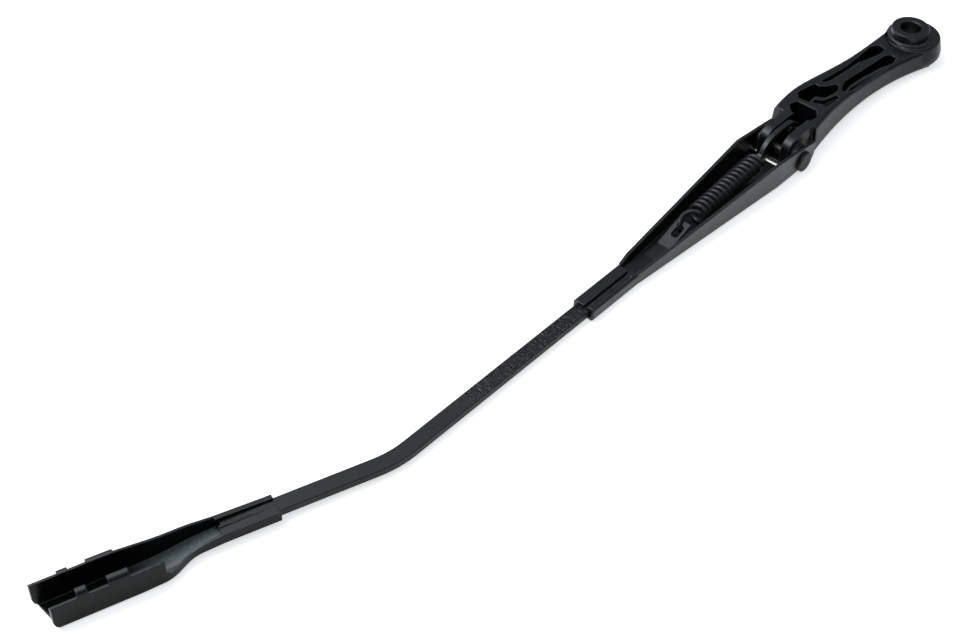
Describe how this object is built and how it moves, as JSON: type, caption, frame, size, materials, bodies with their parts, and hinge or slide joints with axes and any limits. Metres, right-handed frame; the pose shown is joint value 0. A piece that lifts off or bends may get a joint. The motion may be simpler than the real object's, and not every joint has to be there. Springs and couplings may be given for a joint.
{
  "type": "wiper arm",
  "caption": "Windscreen wiper arm, underside up: cast head with shaft bore, hinged channel with tension spring, bent flat bar and folded blade holder.",
  "frame": {"origin": "on the axis of the shaft bore, at the mouth of the nut recess in the arm's outer face, on the plane that the arm lies on", "axes": "+X along the arm to the blade end, +Y the side towards the viewer, +Z out of the underside, away from the outer face"},
  "size_m": [0.6181, 0.0786, 0.0231],
  "materials": {
    "head_paint": "satin black paint on a die casting",
    "channel_paint": "satin black paint on folded sheet steel",
    "bar_paint": "satin black paint on flat steel bar",
    "holder_paint": "satin black paint on folded sheet steel",
    "rivet_paint": "satin black paint",
    "pin_steel": "dark coated steel",
    "spring_coating": "black coated spring wire",
    "link_coating": "black coated steel strip",
    "bush_plastic": "moulded black plastic"
  },
  "bodies": {
    "head": {"mounting_head": "head_paint", "pivot_bush_near": "bush_plastic", "pivot_bush_far": "bush_plastic", "link_pin": "pin_steel"},
    "arm": {"retainer_channel": "channel_paint", "pivot_rivet": "rivet_paint", "arm_bar": "bar_paint", "blade_holder": "holder_paint"},
    "link": {"spring_link": "link_coating"},
    "spring": {"tension_spring": "spring_coating"}
  },
  "joints": [
    {"name": "arm_lift", "type": "hinge", "parent": "head", "child": "arm", "pos_m": [0.1295, 0, 0.0063], "axis": [0, 1, 0], "range_deg": [0, 48], "deforming": ["tension_spring"]},
    {"name": "link_swing", "type": "hinge", "parent": "head", "child": "link", "pos_m": [0.1185, 0, 0.0145], "axis": [0, 1, 0], "range_deg": [0, 43]},
    {"name": "spring_swing", "type": "hinge", "parent": "arm", "child": "spring", "pos_m": [0.22075, 0, 0.00691], "axis": [0, 1, 0], "range_deg": [-7, 0]}
  ],
  "couplings": [
    {"joint": "link_swing", "follows": "arm_lift", "ratio": 0.6565},
    {"joint": "spring_swing", "follows": "arm_lift", "ratio": -0.025}
  ]
}
